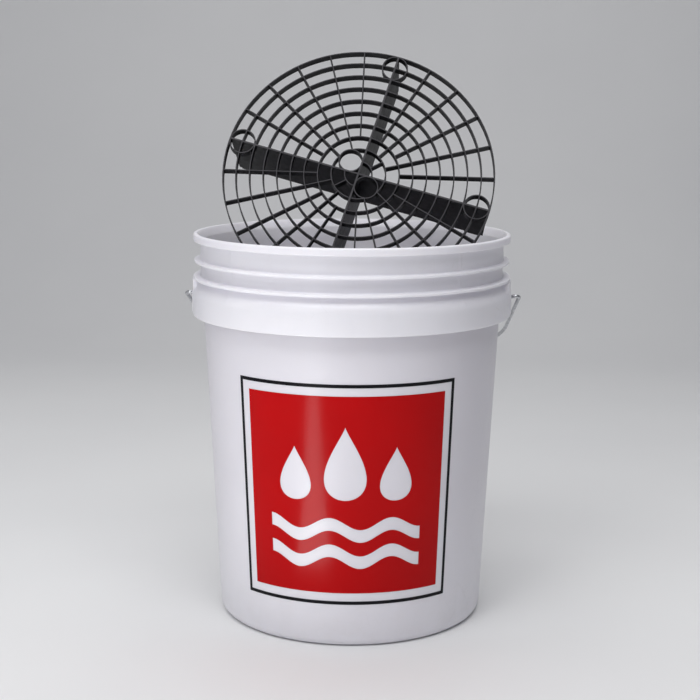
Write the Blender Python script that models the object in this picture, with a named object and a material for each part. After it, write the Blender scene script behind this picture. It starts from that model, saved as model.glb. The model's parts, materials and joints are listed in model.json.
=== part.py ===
"""Wash bucket: a 20 litre open-head pail with a hollow collar, a wire bail with
a sleeve grip, its two prints, and a grit guard standing tilted in the mouth.

Frame: metres, +Z up. The origin is the centre of the base ring on the floor.
The front print faces -Y and the two bail ears are on +X and -X.
"""
import bpy
import bmesh
import math
from mathutils import Matrix, Vector
from mathutils.geometry import delaunay_2d_cdt

MM = 0.001

# ---- pail body (radii and heights in mm) ---------------------------------
PAIL_HEIGHT = 368.0
LIP_RADIUS = 151.0
LIP_UNDERSIDE = 361.0
WALL = 2.3
CONE_RADIUS_AT_30 = 128.8
CONE_SLOPE = 0.0497
BASE_FILLET = 8.0
FOOT_GROOVE = 1.2                    # depth of the ring groove under the base
FLOOR = 2.6                         # floor thickness
RING1 = (340.9, 343.3, 150.2)       # lower face, upper face, outer radius
RING2 = (325.1, 327.6, 151.4)
BAND_BOTTOM = 290.9
SHOULDER_HEIGHT = 306.9              # the band rounds over above this
BAND_TOP = 312.4
BAND_RADIUS = 152.1
BAND_WALL = 2.2
EAR_HALF_ANGLE = 12.0               # degrees each side of the ear centre
EAR_PAD_RADIUS = 152.9
PAIL_SEGMENTS = 64
SKIRT_RIBS = 12
RIB_THICKNESS = 1.6

# ---- bail ----------------------------------------------------------------
PIVOT_HEIGHT = 307.5
WIRE_RADIUS = 1.8
HOLE_RADIUS = 2.5
HEAD_RADIUS = 3.4
HEAD_X = (146.6, 148.3)
EYE_X = 152.6                       # the wire leaves the ear straight to here
EYE_TILT_DEG = 35.0                 # then bows away from the leg
BEND_RADIUS = 3.6
LEG_SLOPE_DEG = 5.71                # the legs lean in towards the grip
SHOULDER_RADIUS = 103.5
STRAIGHT_HALF = 49.5                # half of the straight length in the grip
REACH = 174.0
BAIL_HANG_DEG = 29.0                # below the horizontal, at the back
WIRE_SIDES = 10

# ---- grip ----------------------------------------------------------------
GRIP_HALF_LENGTH = 45.0
GRIP_RADIUS = 12.4
GRIP_BORE = 2.5
GRIP_SEGMENTS = 18

# ---- grit guard (its own frame: X, Y in the grid, +Z out of the top face) --
GUARD_RADIUS = 128.0
RING_COUNT = 10
RING_PITCH = GUARD_RADIUS / RING_COUNT
RIB_HALF = 0.6
MAIN_HALF = 0.9
RIB_DEPTH = 8.0
VANE_HALF = 0.75
VANE_DEPTH = 65.0
VANE_OUT_TOP = 126.6
VANE_OUT_LOW = 124.6
FINGER_RADIUS = 11.0
FINGER_OFFSET = 15.6
BOSS_RADIUS = 12.5
BOSS_RING = 9
GUARD_CENTRE = (6.55, -18.05, 424.4)
GUARD_LEAN_DEG = 27.51              # top face's normal above the horizontal
GUARD_FACING_DEG = 1.09             # normal's bearing from -Y towards +X
GUARD_SPIN_DEG = -16.56             # main spoke from the horizontal chord

# ---- prints --------------------------------------------------------------
PRINT_GAP = 0.3
PRINT_THICK = 0.3
PRINT_CENTRE_DEG = 1.2              # bearing from -Y towards +X
FRAME_HALF_DEG = 43.9
FRAME_Z = (41.3, 247.0)
KEYLINE = 3.2
PANEL_HALF_DEG = 39.4
PANEL_Z = (52.3, 236.2)
SCALE_CENTRE_DEG = 97.0
SCALE_Z = (98.0, 262.0)
PRINT_STEP = 8.5                    # widest flat strip round the wall


# ---- helpers -------------------------------------------------------------
def cone_radius(z):
    """Outer radius of the tapered wall at height z, in mm."""
    return CONE_RADIUS_AT_30 + CONE_SLOPE * (z - 30.0)


def material(name, colour, roughness, metallic=0.0):
    mat = bpy.data.materials.new(name)
    mat.use_nodes = True
    bsdf = mat.node_tree.nodes["Principled BSDF"]
    bsdf.inputs["Base Color"].default_value = (*colour, 1.0)
    bsdf.inputs["Roughness"].default_value = roughness
    bsdf.inputs["Metallic"].default_value = metallic
    mat.diffuse_color = (*colour, 1.0)
    return mat


def make_object(name, bm, mat=None, location=(0, 0, 0), smooth=True,
                unit=MM):
    """Turn a bmesh built in mm into a named object, in metres by default."""
    bmesh.ops.scale(bm, vec=(unit, unit, unit), verts=bm.verts)
    bmesh.ops.recalc_face_normals(bm, faces=bm.faces)
    mesh = bpy.data.meshes.new(name)
    bm.to_mesh(mesh)
    bm.free()
    if mat:
        mesh.materials.append(mat)
    if smooth:
        mesh.shade_smooth()
        mesh.set_sharp_from_angle(angle=math.radians(32))
    obj = bpy.data.objects.new(name, mesh)
    obj.location = location
    bpy.context.scene.collection.objects.link(obj)
    return obj


def cutter(name, bm):
    """A tool shape, kept in mm like the body it cuts or joins."""
    obj = make_object(name, bm, smooth=False, unit=1.0)
    obj.hide_render = True
    obj.display_type = "WIRE"
    return obj


def boolean(obj, other, operation):
    mod = obj.modifiers.new(other.name, "BOOLEAN")
    mod.operation = operation
    mod.solver = "EXACT"
    mod.object = other


def bake(obj, scrap=()):
    """Apply the modifiers on a body in mm, drop its tools, go to metres."""
    bpy.context.view_layer.update()
    deps = bpy.context.evaluated_depsgraph_get()
    mesh = bpy.data.meshes.new_from_object(obj.evaluated_get(deps))
    obj.modifiers.clear()
    old = obj.data
    obj.data = mesh
    bpy.data.meshes.remove(old)
    mesh.name = obj.name
    for tool in scrap:
        bpy.data.objects.remove(tool)
    bm = bmesh.new()
    bm.from_mesh(mesh)
    bmesh.ops.remove_doubles(bm, verts=bm.verts, dist=0.003)
    bmesh.ops.dissolve_degenerate(bm, dist=0.003, edges=bm.edges)
    bmesh.ops.triangulate(bm, faces=[f for f in bm.faces if len(f.verts) > 4])
    bmesh.ops.scale(bm, vec=(MM, MM, MM), verts=bm.verts)
    bm.to_mesh(mesh)
    bm.free()
    mesh.shade_smooth()
    mesh.set_sharp_from_angle(angle=math.radians(32))


def lathe(profile, segments, axis="Z", closed=False):
    """Spin a profile of (radius, height) points into a closed body."""
    bm = bmesh.new()
    verts = [bm.verts.new((r, 0.0, h)) for r, h in profile]
    edges = [bm.edges.new(pair) for pair in zip(verts, verts[1:])]
    if closed:
        edges.append(bm.edges.new((verts[-1], verts[0])))
    bmesh.ops.spin(bm, geom=verts + edges, cent=(0, 0, 0), axis=(0, 0, 1),
                   dvec=(0, 0, 0), angle=2 * math.pi, steps=segments)
    bmesh.ops.remove_doubles(bm, verts=bm.verts, dist=0.002)
    bmesh.ops.dissolve_degenerate(bm, dist=0.001, edges=bm.edges)
    if axis == "X":
        bmesh.ops.rotate(bm, verts=bm.verts, cent=(0, 0, 0),
                         matrix=Matrix.Rotation(math.radians(90), 3, "Y"))
    return bm


def box(lo, hi):
    bm = bmesh.new()
    bmesh.ops.create_cube(bm, size=1.0)
    for v in bm.verts:
        v.co = Vector([(a + b) / 2 + c * (b - a)
                       for a, b, c in zip(lo, hi, v.co)])
    return bm


def cylinder(radius, z0, z1, segments, centre=(0.0, 0.0)):
    bm = bmesh.new()
    bmesh.ops.create_cone(bm, cap_ends=True, segments=segments,
                          radius1=radius, radius2=radius, depth=z1 - z0)
    bmesh.ops.translate(bm, verts=bm.verts,
                        vec=(centre[0], centre[1], (z0 + z1) / 2))
    return bm


def wall_block(r0, r1, z0, z1, centre_deg, half_deg, steps):
    """A block that follows the wall: an arc sector with radial ends."""
    bm = bmesh.new()
    grid = []
    for i in range(steps + 1):
        a = math.radians(centre_deg - half_deg + 2 * half_deg * i / steps)
        c, s = math.cos(a), math.sin(a)
        grid.append([bm.verts.new((r * c, r * s, z)) for r, z in
                     ((r0[0], z0), (r1[0], z0), (r1[1], z1), (r0[1], z1))])
    for a, b in zip(grid, grid[1:]):
        for k in range(4):
            bm.faces.new((a[k], b[k], b[(k + 1) % 4], a[(k + 1) % 4]))
    bm.faces.new(grid[0])
    bm.faces.new(grid[-1][::-1])
    return bm


# ---- pail body -----------------------------------------------------------
def arc(cx, cz, radius, a0, a1, steps):
    return [(cx + radius * math.cos(math.radians(a0 + (a1 - a0) * i / steps)),
             cz + radius * math.sin(math.radians(a0 + (a1 - a0) * i / steps)))
            for i in range(steps + 1)]


def pail_profile():
    """Outer side from the base centre up, over the lip and down inside."""
    fil = BASE_FILLET
    low = cone_radius(fil)
    tilt = math.degrees(math.atan(CONE_SLOPE))
    pts = [(0.0, 0.0), (104.0, 0.0), (105.4, FOOT_GROOVE),
           (108.6, FOOT_GROOVE), (110.0, 0.0)]
    pts += arc(low - fil * math.cos(math.radians(tilt)), fil, fil, -90, -tilt, 4)
    # wall up inside the hollow collar, across its roof, down the band's inside
    inner_band = BAND_RADIUS - BAND_WALL
    pts += [(cone_radius(BAND_BOTTOM), BAND_BOTTOM), (143.0, 315.8),
            (144.6, 317.0), (inner_band, 310.2),
            (inner_band, BAND_BOTTOM + 0.6), (inner_band + 0.5, BAND_BOTTOM)]
    # band, shoulder and the sloping groove under the second ring
    pts += [(BAND_RADIUS - 0.6, BAND_BOTTOM), (BAND_RADIUS, BAND_BOTTOM + 0.6),
            (BAND_RADIUS, SHOULDER_HEIGHT), (151.9, 309.8), (151.2, 312.6),
            (150.1, 315.3), (148.7, 317.8), (145.4, 322.6), (144.2, RING2[0])]
    # second ring
    pts += [(RING2[2] - 0.5, RING2[0]), (RING2[2], RING2[0] + 0.6),
            (RING2[2], RING2[1] - 0.6), (RING2[2] - 0.5, RING2[1]),
            (144.3, RING2[1] + 0.4), (143.8, RING1[0] - 0.3)]
    # first ring
    pts += [(RING1[2] - 0.5, RING1[0]), (RING1[2], RING1[0] + 0.6),
            (RING1[2], RING1[1] - 0.6), (RING1[2] - 0.5, RING1[1]),
            (144.7, RING1[1] + 0.4), (144.3, LIP_UNDERSIDE - 0.4)]
    # lip
    pts += [(LIP_RADIUS - 0.7, LIP_UNDERSIDE), (LIP_RADIUS, LIP_UNDERSIDE + 0.8),
            (LIP_RADIUS, PAIL_HEIGHT - 1.4), (LIP_RADIUS - 0.5, PAIL_HEIGHT - 0.4),
            (LIP_RADIUS - 1.5, PAIL_HEIGHT), (148.2, PAIL_HEIGHT),
            (147.1, PAIL_HEIGHT - 0.7), (143.0, 360.5)]
    # inside wall, inner fillet and floor
    pts += [(141.9, 350.0), (cone_radius(291.8) - WALL, 291.8)]
    ri = cone_radius(FLOOR + 7.0) - WALL
    pts += arc(ri - 7.0, FLOOR + 7.0, 7.0, -tilt, -90, 3)
    pts += [(0.0, FLOOR)]
    return pts


def build_pail(mat):
    pail = make_object("pail_body", lathe(pail_profile(), PAIL_SEGMENTS), mat,
                       unit=1.0)
    tools = []
    for k, side in enumerate((0.0, 180.0)):
        # the ear fills the groove above the band, and carries a proud pad
        ear = cutter(f"ear_block_{k}", wall_block(
            (151.0, 143.0), (BAND_RADIUS - 0.02, BAND_RADIUS - 0.02),
            SHOULDER_HEIGHT - 0.1, RING2[0] + 1.2, side, EAR_HALF_ANGLE, 5))
        pad = cutter(f"ear_pad_{k}", wall_block(
            (BAND_RADIUS - 1.0,) * 2, (EAR_PAD_RADIUS, EAR_PAD_RADIUS),
            BAND_BOTTOM + 1.2, BAND_TOP + 0.9, side, EAR_HALF_ANGLE - 2.0, 4))
        boolean(pail, ear, "UNION")
        boolean(pail, pad, "UNION")
        tools += [ear, pad]
    for k in range(SKIRT_RIBS):
        # gussets tie the hollow collar to the wall, hidden from the outside
        a = 360.0 * (k + 0.5) / SKIRT_RIBS
        half = math.degrees(RIB_THICKNESS / 2 / 147.0)
        rib = cutter(f"skirt_rib_{k}", wall_block(
            (141.6, 141.6), (150.6, 150.6), BAND_BOTTOM + 5.0, 312.0,
            a, half, 1))
        boolean(pail, rib, "UNION")
        tools.append(rib)
    bm = cylinder(HOLE_RADIUS, -160.0, 160.0, 20)
    bmesh.ops.rotate(bm, verts=bm.verts, cent=(0, 0, 0),
                     matrix=Matrix.Rotation(math.radians(90), 3, "Y"))
    # the hole pierces only the collar band, not the wall behind it
    keep = box((-146.0, -8.0, -8.0), (146.0, 8.0, 8.0))
    hole = cutter("bail_hole", bm)
    hole.location = (0, 0, PIVOT_HEIGHT)
    spare = cutter("bail_hole_core", keep)
    spare.location = hole.location
    boolean(hole, spare, "DIFFERENCE")
    boolean(pail, hole, "DIFFERENCE")
    bake(pail, tools + [hole, spare])
    return pail


# ---- bail wire -----------------------------------------------------------
def wire_path():
    """Half of the centre line from the right ear to the middle, with radii."""
    path = [(HEAD_X[0], 0.0, HEAD_RADIUS), (HEAD_X[1], 0.0, HEAD_RADIUS),
            (HEAD_X[1] + 0.01, 0.0, WIRE_RADIUS)]
    tilt, slope = math.radians(EYE_TILT_DEG), math.radians(LEG_SLOPE_DEG)
    for i in range(4):
        a = -tilt * i / 3
        path.append((EYE_X - BEND_RADIUS * math.sin(a),
                     BEND_RADIUS * (math.cos(a) - 1.0), WIRE_RADIUS))
    cx = EYE_X + 2 * BEND_RADIUS * math.sin(tilt)
    cy = BEND_RADIUS * (2 * math.cos(tilt) - 1.0)
    for i in range(1, 9):
        a = -tilt + (math.pi / 2 + slope + tilt) * i / 8
        path.append((cx + BEND_RADIUS * math.sin(a),
                     cy - BEND_RADIUS * math.cos(a), WIRE_RADIUS))
    for i in range(13):
        a = slope + (math.pi / 2 - slope) * i / 12
        path.append((STRAIGHT_HALF + SHOULDER_RADIUS * math.cos(a),
                     REACH + SHOULDER_RADIUS * (math.sin(a) - 1.0),
                     WIRE_RADIUS))
    return path


def build_wire(mat):
    half = wire_path()
    path = half + [(-x, y, r) for x, y, r in reversed(half)]
    bm = bmesh.new()
    rings = []
    for i, (x, y, r) in enumerate(path):
        here = Vector((x, y, 0))
        a = Vector((*path[max(i - 1, 0)][:2], 0))
        b = Vector((*path[min(i + 1, len(path) - 1)][:2], 0))
        t1 = (here - a).normalized() if i else (b - here).normalized()
        t2 = (b - here).normalized() if i < len(path) - 1 else t1
        tangent = (t1 + t2).normalized()
        side = Vector((0, 0, 1)).cross(tangent).normalized()
        rings.append([bm.verts.new(here + r * (
            math.cos(2 * math.pi * k / WIRE_SIDES) * side
            + math.sin(2 * math.pi * k / WIRE_SIDES) * Vector((0, 0, 1))))
            for k in range(WIRE_SIDES)])
    for a, b in zip(rings, rings[1:]):
        for k in range(WIRE_SIDES):
            n = (k + 1) % WIRE_SIDES
            bm.faces.new((a[k], a[n], b[n], b[k]))
    bm.faces.new(rings[0])
    bm.faces.new(rings[-1][::-1])
    wire = make_object("bail_wire", bm, mat, (0, 0, PIVOT_HEIGHT * MM))
    wire.rotation_euler = (-math.radians(BAIL_HANG_DEG), 0, 0)
    return wire


def build_grip(mat, wire):
    """A moulded sleeve with five shallow finger grooves, free on the wire."""
    pts = [(GRIP_BORE, -GRIP_HALF_LENGTH), (GRIP_RADIUS - 2.4, -GRIP_HALF_LENGTH),
           (GRIP_RADIUS - 0.7, -GRIP_HALF_LENGTH + 0.7),
           (GRIP_RADIUS, -GRIP_HALF_LENGTH + 2.4)]
    for k in range(-2, 3):
        mid = k * 16.0
        pts += [(GRIP_RADIUS, mid - 5.5), (GRIP_RADIUS - 0.9, mid - 3.5),
                (GRIP_RADIUS - 0.9, mid + 3.5), (GRIP_RADIUS, mid + 5.5)]
    pts += [(GRIP_RADIUS, GRIP_HALF_LENGTH - 2.4),
            (GRIP_RADIUS - 0.7, GRIP_HALF_LENGTH - 0.7),
            (GRIP_RADIUS - 2.4, GRIP_HALF_LENGTH), (GRIP_BORE, GRIP_HALF_LENGTH)]
    grip = make_object("bail_grip",
                       lathe(pts, GRIP_SEGMENTS, axis="X", closed=True), mat)
    grip.parent = wire
    grip.location = (0, REACH * MM, 0)
    return grip


# ---- plates cut from a flat pattern --------------------------------------
def plate(points, edges, depth_at, levels):
    """Extrude a flat pattern down to several depths as one closed body.

    The pattern is the arrangement of the given line pieces. depth_at(x, y)
    says how many of the levels a patch reaches: 0 leaves it open.
    """
    verts, _, faces, _, _, _ = delaunay_2d_cdt(points, edges, [], 0, 1e-4)
    depth = []
    for f in faces:
        x = sum(verts[i][0] for i in f) / 3.0
        y = sum(verts[i][1] for i in f) / 3.0
        depth.append(depth_at(x, y))
    bm = bmesh.new()
    made = {}

    def vert(i, level):
        if (i, level) not in made:
            made[i, level] = bm.verts.new((*verts[i], levels[level]))
        return made[i, level]

    beside = {}
    for f, d in zip(faces, depth):
        if d:
            bm.faces.new([vert(i, 0) for i in f])
            bm.faces.new([vert(i, d) for i in reversed(f)])
        for k in range(3):
            beside[f[k], f[(k + 1) % 3]] = d
    for (i, j), d in beside.items():
        for level in range(beside.get((j, i), 0), d):
            bm.faces.new((vert(i, level), vert(i, level + 1),
                          vert(j, level + 1), vert(j, level)))
    return bm


def add_loop(points, edges, loop):
    base = len(points)
    points += [Vector(p) for p in loop]
    edges += [(base + k, base + (k + 1) % len(loop)) for k in range(len(loop))]


def ngon(cx, cy, radius, count, turn=0.0):
    return [(cx + radius * math.cos(turn + 2 * math.pi * k / count),
             cy + radius * math.sin(turn + 2 * math.pi * k / count))
            for k in range(count)]


def in_ngon(x, y, cx, cy, radius, count, turn=0.0):
    step = 2 * math.pi / count
    a = (math.atan2(y - cy, x - cx) - turn) % step - step / 2
    return math.hypot(x - cx, y - cy) * math.cos(a) < radius * math.cos(step / 2)


# ---- grit guard ----------------------------------------------------------
def spoke_start(index):
    """Radius where a spoke begins; spokes stand every 15 degrees."""
    step = index % 6
    if step == 0:
        return 0.0
    return RING_PITCH * (2 if step in (2, 4) else 3)


def ring_sides(k):
    return 24 if k < 8 else 48


def guard_solid():
    """Rings, spokes, finger rings, end rings and vanes as one moulding."""
    points, edges = [], []
    rings = []
    for k in range(1, RING_COUNT + 1):
        outer = GUARD_RADIUS if k == RING_COUNT else k * RING_PITCH + RIB_HALF
        rings.append((0.0, 0.0, outer - 2 * RIB_HALF, outer, ring_sides(k)))
    extra = []
    fingers = []
    for deg in (135.0, 315.0):
        a = math.radians(deg)
        fingers.append((FINGER_OFFSET * math.cos(a),
                        FINGER_OFFSET * math.sin(a),
                        FINGER_RADIUS - RIB_HALF, FINGER_RADIUS + RIB_HALF, 20))
    for k in range(4):
        a = math.radians(90.0 * k)
        extra.append((BOSS_RING * RING_PITCH * math.cos(a),
                      BOSS_RING * RING_PITCH * math.sin(a),
                      BOSS_RADIUS - 2 * RIB_HALF, BOSS_RADIUS, 16))
    for cx, cy, r0, r1, n in rings + fingers + extra:
        add_loop(points, edges, ngon(cx, cy, r0, n, math.pi / n))
        add_loop(points, edges, ngon(cx, cy, r1, n, math.pi / n))
    spokes = []
    for i in range(24):
        spokes.append((math.radians(15.0 * i), spoke_start(i), GUARD_RADIUS - 0.6,
                       MAIN_HALF if i % 6 == 0 else RIB_HALF))
    for i in (3, 15):
        spokes.append((math.radians(15.0 * i), RING_PITCH, 2 * RING_PITCH,
                       RIB_HALF))
    foot = (VANE_OUT_LOW - 18.5, VANE_OUT_LOW - 2.5)
    for a, r0, r1, half in spokes:
        c, s = math.cos(a), math.sin(a)
        add_loop(points, edges, [(r * c - t * s, r * s + t * c) for r, t in
                                 ((r0, -half), (r1, -half), (r1, half), (r0, half))])
    for k in range(4):
        c, s = round(math.cos(k * math.pi / 2)), round(math.sin(k * math.pi / 2))
        for r0, r1 in ((0.0, VANE_OUT_TOP), foot):
            add_loop(points, edges, [
                (r * c - t * s, r * s + t * c) for r, t in
                ((r0, -VANE_HALF), (r1, -VANE_HALF), (r1, VANE_HALF),
                 (r0, VANE_HALF))])

    def depth_at(x, y):
        r = math.hypot(x, y)
        along, across = max(abs(x), abs(y)), min(abs(x), abs(y))
        if across < VANE_HALF and along < VANE_OUT_TOP:
            return 3 if foot[0] < along < foot[1] else 2
        if across < MAIN_HALF and along < GUARD_RADIUS - 0.6:
            return 1
        for cx, cy, r0, r1, n in fingers:
            if in_ngon(x, y, cx, cy, r0, n, math.pi / n):
                return 0
            if in_ngon(x, y, cx, cy, r1, n, math.pi / n):
                return 1
        for cx, cy, r0, r1, n in rings + extra:
            turn = math.pi / n
            if (in_ngon(x, y, cx, cy, r1, n, turn)
                    and not in_ngon(x, y, cx, cy, r0, n, turn)):
                return 1
        for a, r0, r1, half in spokes:
            u = x * math.cos(a) + y * math.sin(a)
            v = abs(-x * math.sin(a) + y * math.cos(a))
            if v < half and r0 < u < r1:
                return 1
        return 0

    bm = plate(points, edges, depth_at,
               (0.0, -RIB_DEPTH, -VANE_DEPTH + 2.5, -VANE_DEPTH))
    # the vanes' outer edges draw in towards their feet
    for v in bm.verts:
        r = math.hypot(v.co.x, v.co.y)
        if v.co.z < -RIB_DEPTH - 1 and r > VANE_OUT_TOP - 1:
            v.co.x *= VANE_OUT_LOW / VANE_OUT_TOP
            v.co.y *= VANE_OUT_LOW / VANE_OUT_TOP
    return bm


def build_guard(mat):
    guard = make_object("grit_guard", guard_solid(), mat)
    lean, face, spin = (math.radians(d) for d in
                        (GUARD_LEAN_DEG, GUARD_FACING_DEG, GUARD_SPIN_DEG))
    normal = Vector((math.sin(face) * math.cos(lean),
                     -math.cos(face) * math.cos(lean), math.sin(lean)))
    chord = Vector((math.cos(face), math.sin(face), 0.0))
    up = normal.cross(chord)
    frame = Matrix((chord, up, normal)).transposed()
    frame = frame @ Matrix.Rotation(spin, 3, "Z")
    guard.rotation_euler = frame.to_euler()
    guard.location = [c * MM for c in GUARD_CENTRE]
    return guard


# ---- prints --------------------------------------------------------------
def wall_print(name, mat, loops, inside, mean_radius, centre_deg):
    """A thin print cut from a flat pattern and bent round the tapered wall."""
    points, edges = [], []
    for loop in loops:
        add_loop(points, edges, loop)
    lo = min(p[0] for p in points)
    hi = max(p[0] for p in points)
    z0 = min(p[1] for p in points)
    z1 = max(p[1] for p in points)
    strips = int(math.ceil((hi - lo) / PRINT_STEP))
    for k in range(1, strips):
        x = lo + (hi - lo) * k / strips
        base = len(points)
        points += [Vector((x, z0)), Vector((x, z1))]
        edges.append((base, base + 1))
    bm = plate(points, edges, lambda x, y: 1 if inside(x, y) else 0,
               (PRINT_THICK, 0.0))
    for v in bm.verts:
        a = v.co.x / mean_radius + math.radians(centre_deg)
        r = cone_radius(v.co.y) + PRINT_GAP + v.co.z
        v.co = Vector((r * math.sin(a), -r * math.cos(a), v.co.y))
    return make_object(name, bm, mat)


def in_loop(x, y, loop):
    odd = False
    for (x0, y0), (x1, y1) in zip(loop, loop[1:] + loop[:1]):
        if (y0 > y) != (y1 > y) and x < x0 + (x1 - x0) * (y - y0) / (y1 - y0):
            odd = not odd
    return odd


def rectangle(x0, y0, x1, y1):
    return [(x0, y0), (x1, y0), (x1, y1), (x0, y1)]


def drop_outline(cx, cy, width, height, steps=18):
    """A water drop: a round foot that narrows to a point at the top."""
    pts = []
    for i in range(steps):
        t = 2 * math.pi * i / steps
        pts.append((cx + width / 2 * math.sin(t) * abs(math.sin(t / 2)) ** 1.5 * 1.18,
                    cy + height / 2 * math.cos(t)))
    return pts


def wave_outline(cx, cy, width, height, thick, waves=2.5, steps=20):
    """A band that rises and falls evenly across its width."""
    upper, lower = [], []
    for i in range(steps + 1):
        u = i / steps
        x = cx - width / 2 + width * u
        y = cy + height / 2 * math.cos(2 * math.pi * waves * u)
        upper.append((x, y + thick / 2))
        lower.append((x, y - thick / 2))
    return upper + lower[::-1]


def build_prints(black, red):
    mean = cone_radius((FRAME_Z[0] + FRAME_Z[1]) / 2)
    half = math.radians(FRAME_HALF_DEG) * mean
    outer = rectangle(-half, FRAME_Z[0], half, FRAME_Z[1])
    inner = rectangle(-half + KEYLINE, FRAME_Z[0] + KEYLINE,
                      half - KEYLINE, FRAME_Z[1] - KEYLINE)
    wall_print("front_print_keyline", black, [outer, inner],
               lambda x, y: not in_loop(x, y, inner), mean, PRINT_CENTRE_DEG)

    half = math.radians(PANEL_HALF_DEG) * mean
    outer = rectangle(-half, PANEL_Z[0], half, PANEL_Z[1])
    mid = (PANEL_Z[0] + PANEL_Z[1]) / 2
    cuts = [drop_outline(x, mid + 26.0 + dy, w, h) for x, dy, w, h in
            ((-46.0, -6.0, 36.0, 50.0), (0.0, 4.0, 46.0, 68.0),
             (46.0, -6.0, 36.0, 50.0))]
    cuts += [wave_outline(0.0, mid - 32.0 - 25.0 * k, 142.0, 11.0, 12.0)
             for k in range(2)]
    wall_print("front_print_panel", red, [outer] + cuts,
               lambda x, y: not any(in_loop(x, y, c) for c in cuts),
               mean, PRINT_CENTRE_DEG)

    # a fill scale under the right ear: an upright line with cross ticks
    mean = cone_radius((SCALE_Z[0] + SCALE_Z[1]) / 2)
    bars = [rectangle(-1.0, SCALE_Z[0], 1.0, SCALE_Z[1])]
    count = 14
    for k in range(count + 1):
        y = SCALE_Z[0] + k * (SCALE_Z[1] - SCALE_Z[0] - 2.0) / count
        bars.append(rectangle(-0.5, y, 26.0 if k % 2 == 0 else 15.0, y + 2.0))
    wall_print("side_print_fill_scale", black, bars,
               lambda x, y: any(in_loop(x, y, b) for b in bars),
               mean, SCALE_CENTRE_DEG)


def main():
    for obj in list(bpy.data.objects):
        bpy.data.objects.remove(obj)
    white = material("white_hdpe", (0.80, 0.80, 0.83), 0.38)
    zinc = material("zinc_wire", (0.55, 0.56, 0.58), 0.32, 1.0)
    sleeve = material("white_sleeve", (0.78, 0.78, 0.80), 0.45)
    black_pp = material("black_polypropylene", (0.018, 0.018, 0.020), 0.42)
    black_ink = material("black_ink", (0.012, 0.012, 0.014), 0.35)
    red_ink = material("red_ink", (0.50, 0.002, 0.006), 0.32)
    build_pail(white)
    wire = build_wire(zinc)
    build_grip(sleeve, wire)
    build_guard(black_pp)
    build_prints(black_ink, red_ink)
    bpy.context.view_layer.update()


main()
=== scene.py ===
"""Looks for the wash bucket: fine surfaces, procedural materials, studio."""
import bpy
import bmesh
import json
import math
from mathutils import Matrix, Vector
from mathutils.geometry import delaunay_2d_cdt


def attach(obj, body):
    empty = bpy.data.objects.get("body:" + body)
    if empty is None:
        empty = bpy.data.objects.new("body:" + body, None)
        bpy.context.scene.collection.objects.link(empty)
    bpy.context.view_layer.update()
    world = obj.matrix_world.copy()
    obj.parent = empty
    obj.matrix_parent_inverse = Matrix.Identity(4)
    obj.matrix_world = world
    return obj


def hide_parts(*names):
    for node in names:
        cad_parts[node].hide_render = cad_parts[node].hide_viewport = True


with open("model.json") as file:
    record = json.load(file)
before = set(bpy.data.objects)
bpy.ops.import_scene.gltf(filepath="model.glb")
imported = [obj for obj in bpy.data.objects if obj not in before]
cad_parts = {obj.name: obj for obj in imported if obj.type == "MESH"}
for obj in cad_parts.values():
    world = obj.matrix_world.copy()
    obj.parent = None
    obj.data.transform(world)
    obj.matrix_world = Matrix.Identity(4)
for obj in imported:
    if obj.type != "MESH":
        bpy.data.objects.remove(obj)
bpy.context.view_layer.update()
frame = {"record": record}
JOINTS = {j["name"]: j for j in frame["record"]["behaviour"]["joints"]}
PIVOT_Z = JOINTS["bail_swing"]["pos_m"][2] * 1000.0
GRIP_POS = Vector(JOINTS["grip_spin"]["pos_m"]) * 1000.0
REACH = math.hypot(GRIP_POS.y, GRIP_POS.z - PIVOT_Z)
HANG = math.atan2(PIVOT_Z - GRIP_POS.z, GRIP_POS.y)

# design sizes in mm, the same as the CAD model's
PAIL_HEIGHT, LIP_RADIUS, WALL = 368.0, 151.0, 2.3
BAND_RADIUS, BAND_BOTTOM, EAR_PAD = 152.1, 290.9, 0.8
GUARD_RADIUS, RING_COUNT = 128.0, 10
PITCH = GUARD_RADIUS / RING_COUNT
RIB_HALF, MAIN_HALF, RIB_DEPTH = 0.6, 0.9, 8.0
VANE_HALF, VANE_DEPTH, VANE_OUT_TOP, VANE_OUT_LOW = 0.75, 65.0, 126.6, 124.6
FINGER_RADIUS, FINGER_OFFSET, BOSS_RADIUS, BOSS_RING = 11.0, 15.6, 12.5, 9
GUARD_CENTRE = (6.55, -18.05, 424.4)
GUARD_LEAN, GUARD_FACING, GUARD_SPIN = (math.radians(d) for d in
                                        (27.51, 1.09, -16.56))
PRINT_CENTRE = 1.2
FRAME_HALF, FRAME_Z, KEYLINE = 43.9, (41.3, 247.0), 3.2
PANEL_HALF, PANEL_Z = 39.4, (52.3, 236.2)
SCALE_CENTRE, SCALE_Z = 97.0, (98.0, 262.0)


def cone(z):
    return 128.8 + 0.0497 * (z - 30.0)


def smooth01(a, b, x):
    t = min(max((x - a) / (b - a), 0.0), 1.0)
    return t * t * (3 - 2 * t)


# ---------------------------------------------------------------------------
# mesh helpers (all built in mm, stored in metres)
# ---------------------------------------------------------------------------
def finish_mesh(name, bm, mat, body, nodes=(), angle=35.0, recalc=True):
    bmesh.ops.scale(bm, vec=(0.001,) * 3, verts=bm.verts)
    if recalc:
        bmesh.ops.recalc_face_normals(bm, faces=bm.faces)
    mesh = bpy.data.meshes.new(name)
    bm.to_mesh(mesh)
    bm.free()
    mesh.materials.append(mat)
    mesh.shade_smooth()
    mesh.set_sharp_from_angle(angle=math.radians(angle))
    obj = bpy.data.objects.new(name, mesh)
    bpy.context.scene.collection.objects.link(obj)
    bpy.context.view_layer.update()
    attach(obj, body)
    if nodes:
        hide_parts(*nodes)
    return obj


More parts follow.
